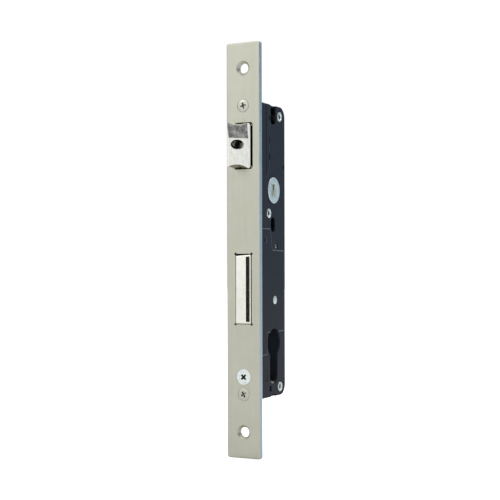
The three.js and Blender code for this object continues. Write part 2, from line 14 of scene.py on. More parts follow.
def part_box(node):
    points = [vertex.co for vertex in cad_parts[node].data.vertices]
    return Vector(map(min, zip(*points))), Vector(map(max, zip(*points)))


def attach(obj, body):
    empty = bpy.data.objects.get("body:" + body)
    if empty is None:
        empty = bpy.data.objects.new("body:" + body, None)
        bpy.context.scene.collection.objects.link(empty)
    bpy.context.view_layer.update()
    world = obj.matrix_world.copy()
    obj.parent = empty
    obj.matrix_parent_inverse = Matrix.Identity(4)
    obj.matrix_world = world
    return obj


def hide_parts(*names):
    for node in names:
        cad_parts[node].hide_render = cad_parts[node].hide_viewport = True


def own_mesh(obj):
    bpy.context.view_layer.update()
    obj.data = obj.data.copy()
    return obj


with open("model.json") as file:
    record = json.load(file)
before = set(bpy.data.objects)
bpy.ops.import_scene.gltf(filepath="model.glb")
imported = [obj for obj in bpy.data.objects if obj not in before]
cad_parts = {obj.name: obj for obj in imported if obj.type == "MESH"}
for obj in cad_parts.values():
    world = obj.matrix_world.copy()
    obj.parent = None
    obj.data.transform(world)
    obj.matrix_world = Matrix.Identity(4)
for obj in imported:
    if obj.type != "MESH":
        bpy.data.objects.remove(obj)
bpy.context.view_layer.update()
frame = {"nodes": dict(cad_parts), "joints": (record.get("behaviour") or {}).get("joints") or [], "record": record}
MM = 0.001
TAU = 2 * math.pi


# ---- places read from the frame ----
def span(node, axis):
    """The node's lowest and highest value along axis x, y or z, in millimetres."""
    low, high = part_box(node)
    i = "xyz".index(axis)
    return low[i] / MM, high[i] / MM


def middle(node, axis):
    return sum(span(node, axis)) / 2


def centre(node, axes):
    """The middle of the node's box along each of two axes."""
    return tuple(middle(node, axis) for axis in axes)


def joint(name):
    return next(j for j in frame["joints"] if j["name"] == name)


SPINDLE = tuple(v / MM for v in joint("follower_turn")["pos_m"])
CENTRES = 92  # spindle to cylinder
CYLINDER = (SPINDLE[1], SPINDLE[2] - CENTRES)
GAP = 0.3  # between pieces inside the case
FRONT = span("forend", "y")[0]
CASE_Y = span("case_cover", "y")
CASE_Z = span("case_cover", "z")
BODY_X = span("case_body", "x")[0]
COVER_X = span("case_cover", "x")
SHEET = 1.2
RAISED = 0.5  # how far the cover's pressed fields stand out
PRESS_ROOT = 0.4  # how deep a pressed field's mesh reaches into the plate
RIM_SPREAD = 2.2  # how many times wider than high a pressed rim is
CASE_CORNER = 6.5
EURO = {"radius": 8.65, "half_slot": 5.1, "bottom": -80.7}  # the profile cylinder's opening
THROUGH = (0, 20)  # x range of a cutter that goes right through the cover


# ---- outlines: lists of points, anticlockwise ----
def arc(a, b, radius, start, end, steps):
    """Points from angle start to angle end, in degrees."""
    turn = [math.radians(start + (end - start) * i / steps) for i in range(steps + 1)]
    return [(a + radius * math.cos(t), b + radius * math.sin(t)) for t in turn]


def circle(a, b, radius, steps=64):
    return arc(a, b, radius, 0, 360, steps)[:-1]


def fillet(corners, radii, steps=8):
    """A polygon with its corners rounded. radii is one number or one for each corner."""
    if not isinstance(radii, (list, tuple)):
        radii = [radii] * len(corners)
    found = []
    for i, (corner, radius) in enumerate(zip(corners, radii)):
        p = Vector(corner)
        to_last = (Vector(corners[i - 1]) - p).normalized()
        to_next = (Vector(corners[(i + 1) % len(corners)]) - p).normalized()
        if radius <= 0:
            found.append(tuple(p))
            continue
        half = to_last.angle(to_next) / 2
        centre = p + (to_last + to_next).normalized() * (radius / math.sin(half))
        first = p + to_last * (radius / math.tan(half)) - centre
        last = p + to_next * (radius / math.tan(half)) - centre
        turn = first.angle_signed(last)
        for k in range(steps + 1):
            found.append(tuple(centre + Matrix.Rotation(-turn * k / steps, 2) @ first))
    return found


def rectangle(a, b, radii=0, steps=8):
    (a0, a1), (b0, b1) = a, b
    return fillet([(a0, b0), (a1, b0), (a1, b1), (a0, b1)], radii, steps)


def long_hole(a, b, width, height):
    """An upright round-ended opening."""
    r = width / 2
    rise = height / 2 - r
    return arc(a, b + rise, r, 0, 180, 20) + arc(a, b - rise, r, 180, 360, 20)


def euro_outline(grow=0.0):
    """The profile cylinder's opening: a round part over a round-ended slot."""
    y, z = CYLINDER
    radius, half, bottom = EURO["radius"] + grow, EURO["half_slot"] + grow, EURO["bottom"] - grow
    meet = math.degrees(math.acos(half / radius))
    top = arc(y, z, radius, -meet, 180 + meet, 48)
    return top + arc(y, bottom + half, half, 180, 360, 20)


def area(loop):
    return sum(p[0] * q[1] - q[0] * p[1] for p, q in zip(loop, loop[1:] + loop[:1])) / 2


def inset(loop, distance):
    """The loop moved to its left by distance."""
    moved = []
    for i, point in enumerate(loop):
        p = Vector(point)
        before = (p - Vector(loop[i - 1])).normalized()
        after = (Vector(loop[(i + 1) % len(loop)]) - p).normalized()
        left = Vector((-before.y, before.x)) + Vector((-after.y, after.x))
        left = left / max(left.length_squared / 2, 0.2)
        moved.append(tuple(p + left * distance))
    return moved


# ---- meshes ----
def plane_x(a, b, c):
    return (c, a, b)


def plane_y(a, b, c):
    return (a, c, b)


def plane_z(a, b, c):
    return (a, b, c)


def prism(place, outer, holes, low, high, edge=0.2, steps=3, hole_edge=None, low_edge=None,
          spread=1):
    """A plate of the given outline with rounded edges, as points and faces.

    spread is how many times wider than high the upper edge of the outline is."""
    hole_edge = edge if hole_edge is None else hole_edge
    low_edge = edge if low_edge is None else low_edge
    loops = [(outer if area(outer) > 0 else outer[::-1], low_edge, edge, edge * spread)]
    loops += [(h if area(h) < 0 else h[::-1], hole_edge, hole_edge, hole_edge) for h in holes]
    points, faces, caps = [], [], []
    for loop, first, last, reach in loops:
        rings = []
        quarter = [math.pi / 2 * k / steps for k in range(steps + 1)]
        for t in reversed(quarter):
            rings.append((first * (1 - math.cos(t)), low + first * (1 - math.sin(t))))
        for t in quarter:
            rings.append((reach * (1 - math.cos(t)), high - last * (1 - math.sin(t))))
        starts = []
        for distance, height in rings:
            starts.append(len(points))
            points += [place(a, b, height) for a, b in inset(loop, distance)]
        count = len(loop)
        for lower, upper in zip(starts, starts[1:]):
            for i in range(count):
                k = (i + 1) % count
                faces.append((lower + i, lower + k, upper + k, upper + i))
        caps.append((starts[0], starts[-1], loop, first, reach))
    for which in (0, 1):
        flat = [[Vector((a, b, 0)) for a, b in inset(cap[2], cap[3 + which])] for cap in caps]
        index = [cap[which] + i for cap in caps for i in range(len(cap[2]))]
        for triangle in tessellate_polygon(flat):
            faces.append(tuple(index[i] for i in triangle))
    return points, faces


def block(place, outline, low, high):
    """A cutter with sharp edges."""
    return prism(place, outline, [], low, high, 0.01, 1)


def lathe(profile, place, axis, steps=64):
    """A turned solid. profile is pairs of radius and height; axis is its place in the plane."""
    points, faces, rings = [], [], []
    for radius, height in profile:
        ring = [tuple(axis)] if radius == 0 else circle(*axis, radius, steps)
        rings.append((len(points), len(ring)))
        points += [place(a, b, height) for a, b in ring]
    for (s0, n0), (s1, n1) in zip(rings, rings[1:]):
        for i in range(steps):
            k = (i + 1) % steps
            if n0 == 1:
                faces.append((s0, s1 + i, s1 + k))
            elif n1 == 1:
                faces.append((s0 + i, s0 + k, s1))
            else:
                faces.append((s0 + i, s0 + k, s1 + k, s1 + i))
    return points, faces


def sweep(path, radius, sides=12):
    """A round wire along points, with domed ends."""
    path = [Vector(p) for p in path]
    points, faces = [], []
    side = (path[1] - path[0]).orthogonal().normalized()
    rings = []
    for i, p in enumerate(path):
        along = (path[min(i + 1, len(path) - 1)] - path[max(i - 1, 0)]).normalized()
        side = (side - along * side.dot(along)).normalized()
        rings.append((p, along, side.copy(), radius))
    start, end = rings[0], rings[-1]
    dome = [(0.5, 0.87), (0.87, 0.5)]
    first = [(start[0] - start[1] * radius * s, start[1], start[2], radius * c) for c, s in dome]
    last = [(end[0] + end[1] * radius * s, end[1], end[2], radius * c) for c, s in reversed(dome)]
    rings = first + rings + last
    for p, along, across, r in rings:
        up = along.cross(across)
        for k in range(sides):
            t = TAU * k / sides
            points.append(tuple(p + across * (r * math.cos(t)) + up * (r * math.sin(t))))
    for i in range(len(rings) - 1):
        for k in range(sides):
            n = (k + 1) % sides
            faces.append((i * sides + k, i * sides + n, (i + 1) * sides + n, (i + 1) * sides + k))
    faces.append(tuple(range(sides)))
    faces.append(tuple((len(rings) - 1) * sides + k for k in range(sides)))
    return points, faces


def merge(*parts):
    """Several sets of points and faces as one."""
    points, faces = [], []
    for more_points, more_faces in parts:
        start = len(points)
        points += more_points
        faces += [tuple(start + i for i in face) for face in more_faces]
    return points, faces


def raw(name, made):
    """An object from points in millimetres and faces, with its faces pointing out."""
    points, faces = made
    mesh = bpy.data.meshes.new(name)
    mesh.from_pydata([Vector(p) * MM for p in points], [], faces)
    work = bmesh.new()
    work.from_mesh(mesh)
    bmesh.ops.remove_doubles(work, verts=work.verts, dist=1e-7)
    bmesh.ops.recalc_face_normals(work, faces=work.faces)
    work.to_mesh(mesh)
    work.free()
    obj = bpy.data.objects.new(name, mesh)
    bpy.context.scene.collection.objects.link(obj)
    return obj


def settle(obj):
    """Makes the object's modifiers part of its mesh."""
    evaluated = obj.evaluated_get(bpy.context.evaluated_depsgraph_get())
    done = bpy.data.meshes.new_from_object(evaluated)
    obj.modifiers.clear()
    obj.data = done
    return obj


def carve(obj, *cutters):
    """Cuts closed meshes out of the object."""
    for i, made in enumerate(cutters):
        tool = raw(f"{obj.name}_cutter{i}", made)
        modifier = obj.modifiers.new("cut", "BOOLEAN")
        modifier.operation = "DIFFERENCE"
        modifier.solver = "EXACT"
        modifier.object = tool
        bpy.context.view_layer.update()
        settle(obj)
        bpy.data.objects.remove(tool)
        work = bmesh.new()
        work.from_mesh(obj.data)
        bmesh.ops.remove_doubles(work, verts=work.verts, dist=5e-7)
        bmesh.ops.dissolve_degenerate(work, edges=work.edges, dist=5e-7)
        work.to_mesh(obj.data)
        work.free()
    return obj


def shade(obj, angle=40):
    """Smooth shading up to the angle, with flat faces kept flat."""
    obj.data.shade_smooth()
    obj.data.set_sharp_from_angle(angle=math.radians(angle))
    modifier = obj.modifiers.new("weighted", "WEIGHTED_NORMAL")
    modifier.keep_sharp = True
    return obj


def dress(obj, body, material, slot, *nodes):
    """The object's material, the body it moves with and the CAD nodes it stands for."""
    obj.data.materials.clear()
    obj.data.materials.append(material)
    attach(obj, body)
    if nodes:
        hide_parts(*nodes)
    return obj


def also(obj, material, chosen):
    """One more material, on the faces chosen by their middle, in millimetres, and their normal."""
    obj.data.materials.append(material)
    for face in obj.data.polygons:
        if chosen(face.center / MM, face.normal):
            face.material_index = len(obj.data.materials) - 1


# ---- materials ----
def blended(tree, share, first, second):
    """The colour between two colours or sockets."""
    mix = tree.nodes.new("ShaderNodeMix")
    mix.data_type = "RGBA"
    tree.links.new(share, mix.inputs["Factor"])
    for socket, value in ((mix.inputs[6], first), (mix.inputs[7], second)):
        if isinstance(value, bpy.types.NodeSocket):
            tree.links.new(value, socket)
        else:
            socket.default_value = (*value, 1)
    return mix.outputs[2]


class Look:
    """A material's node tree, with short calls for the nodes that the looks share."""

    def __init__(self, name, color, metallic, roughness):
        self.material = bpy.data.materials.new(name)
        self.material.use_nodes = True
        self.tree = self.material.node_tree
        self.shader = self.tree.nodes["Principled BSDF"]
        self.shader.inputs["Base Color"].default_value = (*color, 1)
        self.shader.inputs["Metallic"].default_value = metallic
        self.shader.inputs["Roughness"].default_value = roughness
        self.coordinates = self.tree.nodes.new("ShaderNodeTexCoord").outputs["Object"]
        self.height = None

    def node(self, kind, **inputs):
        made = self.tree.nodes.new(kind)
        for key, value in inputs.items():
            socket = made.inputs[key.replace("_", " ")]
            if isinstance(value, bpy.types.NodeSocket):
                self.tree.links.new(value, socket)
            else:
                socket.default_value = value
        return made

    def noise(self, scale, detail=4, roughness=0.6, stretch=(1, 1, 1)):
        mapping = self.node("ShaderNodeMapping", Vector=self.coordinates, Scale=stretch)
        return self.node(
            "ShaderNodeTexNoise",
            Vector=mapping.outputs[0],
            Scale=scale,
            Detail=detail,
            Roughness=roughness,
        ).outputs[0]

    def ranged(self, value, low, high, start=0.3, end=0.7):
        return self.node(
            "ShaderNodeMapRange",
            Value=value,
            From_Min=start,
            From_Max=end,
            To_Min=low,
            To_Max=high,
        ).outputs[0]

    def mixed(self, share, first, second):
        return blended(self.tree, share, first, second)

    def edges(self, radius):
        """0 on flat faces, rising towards 1 where the surface turns within the radius."""
        bevel = self.node("ShaderNodeBevel", Radius=radius * MM)
        plain = self.tree.nodes.new("ShaderNodeNewGeometry").outputs["Normal"]
        dot = self.tree.nodes.new("ShaderNodeVectorMath")
        dot.operation = "DOT_PRODUCT"
        self.tree.links.new(bevel.outputs[0], dot.inputs[0])
        self.tree.links.new(plain, dot.inputs[1])
        sharp, flat = 0.75, 0.98
        return self.ranged(dot.outputs["Value"], 1, 0, sharp, flat)

    def color(self, value):
        self.tree.links.new(value, self.shader.inputs["Base Color"])

    def roughness(self, value):
        self.tree.links.new(value, self.shader.inputs["Roughness"])

    def bump(self, value, strength, distance):
        bump = self.tree.nodes.new("ShaderNodeBump")
        bump.inputs["Strength"].default_value = strength
        bump.inputs["Distance"].default_value = distance * MM
        self.tree.links.new(value, bump.inputs["Height"])
        if self.height is not None:
            self.tree.links.new(self.height, bump.inputs["Normal"])
        self.height = bump.outputs["Normal"]
        self.tree.links.new(self.height, self.shader.inputs["Normal"])


def brushed_steel():
    """Matt plate ground along its length: fine streaks up and down, and a few deeper ones."""
    look = Look("forend_steel", (0.5, 0.5, 0.43), 1, 0.42)
    fine = look.noise(1, 3, 0.7, (9000, 9000, 45))
    broad = look.noise(1, 2, 0.5, (900, 900, 9))
    cloud = look.noise(60, 3)
    tone = look.mixed(look.ranged(fine, 0, 1), (0.44, 0.443, 0.38), (0.5, 0.503, 0.435))
    look.color(look.mixed(look.ranged(cloud, 0, 0.35), tone, (0.56, 0.56, 0.51)))
    look.roughness(look.ranged(broad, 0.36, 0.5))
    look.bump(fine, 0.35, 0.01)
    look.bump(broad, 0.14, 0.02)
    return look.material


def case_paint(name, low, high):
    """Satin dark blue-grey paint with a faint orange peel, lighter along its edges as a painted edge highlight
    with some rubbed wear.
    """
    look = Look(name, high, 0, 0.36)
    look.shader.inputs["Specular IOR Level"].default_value = 0.06
    peel = look.noise(1300, 2)
    cloud = look.noise(70, 4)
    tone = look.mixed(look.ranged(cloud, 0, 1), low, high)
    # the lighter colour along the edges is a painted edge highlight, with some rubbed wear
    look.color(look.mixed(look.edges(0.35), tone, (0.085, 0.095, 0.108)))
    look.roughness(look.ranged(cloud, 0.3, 0.42))
    look.bump(peel, 0.18, 0.03)
    return look.material


def nickel():
    """Bright nickel plate over a polished casting that isn't quite flat."""
    look = Look("nickel", (0.82, 0.81, 0.77), 1, 0.16)
    wave = look.noise(260, 3, 0.5)
    grind = look.noise(1, 2, 0.5, (2200, 2200, 260))
    stain = look.noise(160, 4)
    look.color(look.mixed(look.ranged(stain, 0, 1), (0.79, 0.78, 0.73), (0.86, 0.855, 0.82)))
    look.roughness(look.ranged(grind, 0.1, 0.22))
    look.bump(wave, 0.5, 0.1)
    return look.material


def plated(name, low, high, roughness, spangle=500, metallic=1):
    """Plated small parts with a soft mottle."""
    look = Look(name, high, metallic, roughness)
    mottle = look.noise(spangle, 4)
    fine = look.noise(4000, 2)
    look.color(look.mixed(look.ranged(mottle, 0, 1), low, high))
    look.roughness(look.ranged(mottle, roughness * 0.75, roughness * 1.3))
    look.bump(fine, 0.15, 0.01)
    return look.material


def die_cast():
    """Bare zinc alloy as it leaves the mould."""
    look = Look("die_cast", (0.36, 0.37, 0.37), 0.85, 0.5)
    grain = look.noise(1800, 4)
    cloud = look.noise(140, 3)
    look.color(look.mixed(look.ranged(cloud, 0, 1), (0.28, 0.29, 0.3), (0.42, 0.43, 0.43)))
    look.roughness(look.ranged(grain, 0.42, 0.6))
    look.bump(grain, 0.3, 0.03)
    return look.material


STEEL = brushed_steel()
# blue-grey steel for the forend's sides: a painted reflection of a blue-grey surround
BLUE_REFLECTION_STEEL = plated("blue_reflection_steel", (0.42, 0.49, 0.55), (0.52, 0.59, 0.65), 0.4)
PAINT = case_paint("case_paint", (0.014, 0.019, 0.03), (0.021, 0.027, 0.041))
# lighter paint for the pressed rims: a painted highlight where the rims catch the light
RIM_HIGHLIGHT_PAINT = case_paint("rim_highlight_paint", (0.09, 0.1, 0.115), (0.15, 0.16, 0.175))
# a less light paint for rims facing back and down: a painted highlight
RIM_SHEEN_PAINT = case_paint("rim_sheen_paint", (0.05, 0.055, 0.063), (0.08, 0.086, 0.095))
NICKEL = nickel()
ZINC = plated("zinc", (0.62, 0.68, 0.7), (0.8, 0.86, 0.87), 0.36)
WARM = plated("warm_nickel", (0.44, 0.43, 0.385), (0.58, 0.575, 0.525), 0.36)
# dark steel: the latch screw's own finish, and also painted shade in recesses, a groove, a shank and between the
# plates
DARK_STEEL_AND_SHADE = plated("dark_steel", (0.22, 0.22, 0.21), (0.38, 0.38, 0.36), 0.3)
# darker mottled nickel for the latch's upper facet: a painted reflection
MOTTLED_REFLECTION = plated("mottled_reflection_nickel", (0.33, 0.33, 0.32), (0.86, 0.855, 0.83), 0.3, 380)
# dark brownish nickel for the latch's underside: painted shade and painted reflection
UNDERSIDE_SHADE_NICKEL = plated("underside_shade_nickel", (0.16, 0.15, 0.12), (0.5, 0.48, 0.41), 0.3, 420)
# whiter zinc for the inside of the follower's hole: painted light
LIT_BORE_ZINC = plated("lit_bore_zinc", (0.8, 0.86, 0.84), (0.9, 0.94, 0.92), 0.5, metallic=0.6)
# near-black for bores and recesses: painted shade
RECESS_SHADE = plated("recess_shade", (0.025, 0.025, 0.022), (0.06, 0.06, 0.055), 0.5)
SPRING = plated("spring_steel", (0.25, 0.26, 0.28), (0.42, 0.43, 0.45), 0.24, 900)
CAST = die_cast()
FINISHES = {
    "forend_steel": STEEL,
    "case_paint": PAINT,
    "nickel": NICKEL,
    "warm_nickel": WARM,
    "zinc": ZINC,
    "die_cast": CAST,
    "dark_steel": DARK_STEEL_AND_SHADE,
    "spring_steel": SPRING,
}


# ---- forend ----
HEAD_PLAY = 0.22  # dark ring round each screw head
CASE_SCREW = {"head": 3.65, "shank": 1.75, "bore": 2.1, "pitch": 0.7, "cross": 0.5}
SCREWS = {
    "case_screw_upper": {**CASE_SCREW, "turn": 12},
    "case_screw_lower": {**CASE_SCREW, "turn": 30},
    "cylinder_screw": {"head": 4.65, "shank": 2.5, "bore": 2.9, "pitch": 0.8, "cross": 0.43, "turn": 45},
}
FIXING_HOLE = {"top": 4.3, "bore": 3.0, "inset": 15.25}  # radii, and its distance from the end
BOLT_SLOT = {"x": (-5.2, 5.45), "z": (-43.6, -2.1), "corner": 0.25, "relief": 0.75}
LATCH_SLOT = {"x": (-6.2, 6.3), "z": (47.7, 75.2), "corner": 1.6}
PAST_REAR = 4  # y of a point well behind the forend


def countersink(x, z, top, bore):
    """A cutter: a cone of 90 degrees that opens at the forend's front, then a straight bore."""
    seat = FRONT + (top - bore)
    profile = [(0, FRONT - 1), (top + 1, FRONT - 1), (bore, seat), (bore, PAST_REAR), (0, PAST_REAR)]
    return lathe(profile, plane_y, (x, z))


def forend():
    """The brushed plate, its two slots, the bolt slot's relieved corners and five countersinks."""
    x, z = span("forend", "x"), span("forend", "z")
    slots = [
        rectangle(BOLT_SLOT["x"], BOLT_SLOT["z"], BOLT_SLOT["corner"], 3),
        rectangle(LATCH_SLOT["x"], LATCH_SLOT["z"], LATCH_SLOT["corner"]),
    ]
    outline = rectangle(x, z, 1.2)
    obj = raw("forend_plate", prism(plane_y, outline, slots, FRONT, 0, 0.15, 5, low_edge=0.7))
    r = BOLT_SLOT["relief"]
    drill = [(0, -5), (r, -5), (r, 2), (0, 2)]
    cutters = [lathe(drill, plane_y, (a, b), 24) for a in BOLT_SLOT["x"] for b in BOLT_SLOT["z"]]
    for side in (-1, 1):
        height = side * (z[1] - FIXING_HOLE["inset"])
        cutters.append(countersink(0, height, FIXING_HOLE["top"], FIXING_HOLE["bore"]))
    for node, size in SCREWS.items():
        cutters.append(countersink(0, middle(node, "z"), size["head"] + HEAD_PLAY, size["bore"]))
    carve(obj, *cutters)
    dress(shade(obj, 35), "case", STEEL, "forend_steel", "forend")
    # the forend's sides are tinted blue-grey: painted reflection
    rim = x[1] - 2
    also(obj, BLUE_REFLECTION_STEEL, lambda c, n: abs(c.x) > rim and abs(n.x) > 0.35)


forend()


# ---- case ----
HUB_HOLE = 8.2
ROSETTE_SLOT = {"middle": (21.4, 15.6), "width": 5.9, "height": 9}
POST_HOLES = {
    "case_rivet_upper": 3.15,
    "case_rivet_lower": 3.15,
    "stop_post": 3.15,
    "bolt_guide_pin": 2.65,
    "spring_post": 1.75,
}
NUT_TAB = {"y": (10.4, 13.7), "z": (-78, -71.7)}
BOTTOM_NOTCH = {"y": (18, 24.5), "depth": 1.5}
TOP_BAY = {"y": (18.4, 25.4), "floor": 76.2, "corner": 2.4}
WALL_FRONT = 10  # y where the top and bottom walls begin
FLANGES = ((6, 42), (-66, -47))  # z ranges of the two front flanges
LATCH_SLITS = {"y": (15.2, 17), "z": ((78, 81.3), (63.9, 68.1), (54.3, 58.5))}
FOOT_SLIT = {"y": (16.3, 18.8), "z": (-84.8, -81.5)}
REAR_SLIT = {"y": (35.4, 37.3), "z": (50, 52.8)}


def shared_holes():
    """Openings that both plates of the case share."""
    holes = [
        euro_outline(),
        circle(*SPINDLE[1:], HUB_HOLE),
        long_hole(*ROSETTE_SLOT["middle"], ROSETTE_SLOT["width"], ROSETTE_SLOT["height"]),
    ]
    holes += [circle(*centre(node, "yz"), radius) for node, radius in POST_HOLES.items()]
    holes.append(rectangle(NUT_TAB["y"], NUT_TAB["z"], 0.3, 3))
    return holes


def case_outline(bay):
    """The plates' outline: round behind, with a notch below and, for the cover, a bay on top."""
    y0, y1 = CASE_Y
    z0, z1 = CASE_Z
    n0, n1 = BOTTOM_NOTCH["y"]
    roof = z0 + BOTTOM_NOTCH["depth"]
    corners = [(y0, z0), (n0, z0), (n0, roof), (n1, roof), (n1, z0), (y1, z0), (y1, z1)]
    radii = [0, 0, 0.5, 0.5, 0, CASE_CORNER, CASE_CORNER]
    if bay:
        b0, b1 = TOP_BAY["y"]
        corners += [(b1, z1), (b1, TOP_BAY["floor"]), (b0, TOP_BAY["floor"]), (b0, z1)]
        radii += [0.3, TOP_BAY["corner"], TOP_BAY["corner"], 0.3]
    corners.append((y0, z1))
    radii.append(0)
    return fillet(corners, radii, 10)


def wall_outline():
    """The folded wall round the back of the case, as a strip seen from the side."""
    y1 = CASE_Y[1]
    z0, z1 = CASE_Z
    outside = [(WALL_FRONT, z0), (y1, z0), (y1, z1), (WALL_FRONT, z1)]
    inside = [
        (WALL_FRONT, z1 - SHEET),
        (y1 - SHEET, z1 - SHEET),
        (y1 - SHEET, z0 + SHEET),
        (WALL_FRONT, z0 + SHEET),
    ]
    bend = CASE_CORNER - SHEET
    return fillet(outside + inside, [0, CASE_CORNER, CASE_CORNER, 0, 0, bend, bend, 0], 10)


def case_body():
    inner = span("case_body", "x")[1]
    plate = prism(plane_x, case_outline(False), shared_holes(), BODY_X, BODY_X + SHEET, 0.25)
    lap = BODY_X + 0.3  # the walls start inside the plate
    wall = prism(plane_x, wall_outline(), [], lap, inner, 0.15)
    flange = rectangle((lap, inner), (CASE_Y[0], CASE_Y[0] + SHEET), 0.1, 2)
    flanges = [prism(plane_z, flange, [], *z, 0.1) for z in FLANGES]
    obj = raw("case_body_shell", merge(plate, wall, *flanges))
    dress(shade(obj), "case", PAINT, "case_paint", "case_body")


case_body()


def pressed(name, outline, holes, rise, cutters):
    """A pressed part of the cover that stands out by rise, with a sloping rim."""
    outer = COVER_X[0] + SHEET
    made = prism(plane_x, outline, holes, outer - PRESS_ROOT, outer + rise, rise * 0.84, 6,
                 hole_edge=0.3, low_edge=0.1, spread=RIM_SPREAD)
    obj = raw(name, made)
    carve(obj, *[block(plane_x, cutter, *THROUGH) for cutter in cutters])
    dress(shade(obj, 50), "case", PAINT, "case_paint", "case_cover")
    return obj


def sloping(normal):
    """Whether a face of the cover is part of a rim."""
    return 0.1 < normal.x < 0.985


def case_cover():
    """The plate, the field over the bolt, the band beside the forend and the step by the latch."""
    y0 = CASE_Y[0]
    top = CASE_Z[1]
    slits = [rectangle(LATCH_SLITS["y"], z, 0.3, 3) for z in LATCH_SLITS["z"]]
    holes = shared_holes() + slits
    holes.append(rectangle(FOOT_SLIT["y"], FOOT_SLIT["z"], 0.3, 3))
    holes.append(rectangle(REAR_SLIT["y"], REAR_SLIT["z"], 0.4, 4))
    plate = prism(plane_x, case_outline(True), holes, COVER_X[0], COVER_X[0] + SHEET, 0.25)
    dress(shade(raw("case_cover_plate", plate)), "case", PAINT, "case_paint", "case_cover")

    field = fillet(
        [
            (y0, 13.3), (y0, -62.6), (13.0, -62.6), (13.0, -49.4), (36.3, -49.4),
            (36.3, 0.2), (19.7, 0.5), (17.3, 13.3),
        ],
        [0, 0, 1.3, 0.5, 1.5, 1.5, 1.5, 2],
    )
    guide_hole = circle(*centre("bolt_guide_pin", "yz"), POST_HOLES["bolt_guide_pin"])
    mark = circle(10, 6.3, 1.65, 32)
    opening = euro_outline(0.02)
    obj = pressed("case_cover_bolt_field", field, [guide_hole, mark], RAISED, [opening])
    # the sloping rims take the lighter paint: painted highlight
    also(obj, RIM_HIGHLIGHT_PAINT, lambda c, n: sloping(n))

    band = fillet([(y0, 14.4), (11.1, 14.4), (11.1, top), (y0, top)], [0, 1.3, 0, 0])
    pressed("case_cover_front_band", band, [], RAISED, [])

    step = fillet(
        [(11.5, 44), (13, 44), (16.3, 49), (16.3, top), (11.5, top)],
        [0.3, 0.4, 1.5, 0, 0],
    )
    obj = pressed("case_cover_latch_step", step, [], RAISED * 0.8, slits)
    # rims facing back and down take the lighter paint: painted highlight
    also(obj, RIM_SHEEN_PAINT, lambda c, n: sloping(n) and (n.y > 0.1 or n.z < -0.1))


case_cover()


# ---- screws ----
def bar(x, z, angle, ends):
    """A cutter along a line in the forend's plane.

    ends gives its height, half length and half width, at the front and at the bottom."""
    points = []
    for height, length, width in ends:
        for a, b in ((-length, -width), (length, -width), (length, width), (-length, width)):
            across = a * math.cos(angle) - b * math.sin(angle)
            up = a * math.sin(angle) + b * math.cos(angle)
            points.append((x + across, height, z + up))
    sides = [(i, (i + 1) % 4, (i + 1) % 4 + 4, i + 4) for i in range(4)]
    return points, [(0, 1, 2, 3), (4, 7, 6, 5)] + sides


def cross(x, z, size, width, turn, ticks):
    """Cutters for a cross recess: tapered arms and, with ticks, fine bars between them."""
    front, depth = FRONT - 0.5, 1.5
    wide, narrow = 1.15, 0.55  # the recess's taper
    made = []
    for quarter in range(2):
        arm = [(front, size * wide, width * wide), (FRONT + depth, size * narrow, width * narrow)]
        made.append(bar(x, z, math.radians(turn + quarter * 90), arm))
    if ticks:
        length, thin, shallow = size * 0.72, width * 0.4, 0.35
        tick = [(front, length * wide, thin), (FRONT + shallow, length * narrow, thin)]
        made += [bar(x, z, math.radians(turn + angle), tick) for angle in (225, 315)]
    return made


def screw(node, material, slot_name):
    """A countersunk screw with a cross recess and a ridged shank."""
    size = SCREWS[node]
    head, shank, pitch = size["head"], size["shank"], size["pitch"]
    x, z = centre(node, "xz")
    low, tip = span(node, "y")
    seat = low + (head - shank)
    profile = [
        (0, low),
        (head * 0.6, low),
        (head - 0.18, low + 0.02),
        (head - 0.04, low + 0.1),
        (head, low + 0.24),
        (shank, seat + 0.24),
    ]
    root = shank * 0.84
    height = seat + 1.5
    while height < tip - 1:
        profile += [
            (root, height),
            (shank, height + pitch * 0.35),
            (shank, height + pitch * 0.5),
            (root, height + pitch * 0.85),
        ]
        height += pitch
    profile += [(shank * 0.8, tip - 0.4), (shank * 0.5, tip), (0, tip)]
    obj = raw(node + "_fine", lathe(profile, plane_y, (x, z)))
    fine = node != "cylinder_screw"
    carve(obj, *cross(x, z, head * size["cross"], head * 0.13, size["turn"], fine))
    dress(shade(obj, 35), "case", material, slot_name, node)
    if not fine:
        # the shank, deep in the opening, is painted dark: painted shade
        also(obj, DARK_STEEL_AND_SHADE, lambda c, n: c.y > low + 3)

    def in_recess(c, n):
        return low + 0.12 < c.y < low + 1.6 and math.hypot(c.x - x, c.z - z) < head * 0.62

    # the cross recess is painted dark: painted shade
    also(obj, DARK_STEEL_AND_SHADE if fine else RECESS_SHADE, in_recess)


screw("case_screw_upper", WARM, "warm_nickel")
screw("case_screw_lower", WARM, "warm_nickel")
screw("cylinder_screw", ZINC, "zinc")


# ---- rivets, posts and pins ----
def tube(node, radius, bore, shoulder=0):
    """A riveted tube: rolled ends and, for a rivet, a wider sleeve between the plates."""
    y, z = centre(node, "yz")
    low, high = span(node, "x")
    inner = (BODY_X + SHEET + GAP, COVER_X[0] - GAP)
    roll = 0.45
    end = [
        (bore, 0.9),
        (bore + 0.25, 0.25),
        (bore + 0.55, 0.0),
        (radius - roll, 0.0),
        (radius - 0.12, 0.14),
        (radius, roll),
    ]
    profile = [(r, low + h) for r, h in end]
    if shoulder:
        profile += [(r, h) for h, r in sleeve(inner, radius, shoulder)]
    profile += [(r, high - h) for r, h in reversed(end)]
    profile.append(profile[0])
    obj = raw(node + "_fine", lathe(profile, plane_x, (y, z)))
    dress(shade(obj, 35), "case", ZINC, "zinc", node)
    # the part between the plates is painted dark: painted shade
    also(obj, DARK_STEEL_AND_SHADE, lambda c, n: inner[0] - 0.1 < c.x < inner[1] + 0.1)


def sleeve(inner, radius, shoulder):
    """Heights and radii of a rivet's wider part."""
    return [(inner[0], radius), (inner[0], shoulder), (inner[1], shoulder), (inner[1], radius)]


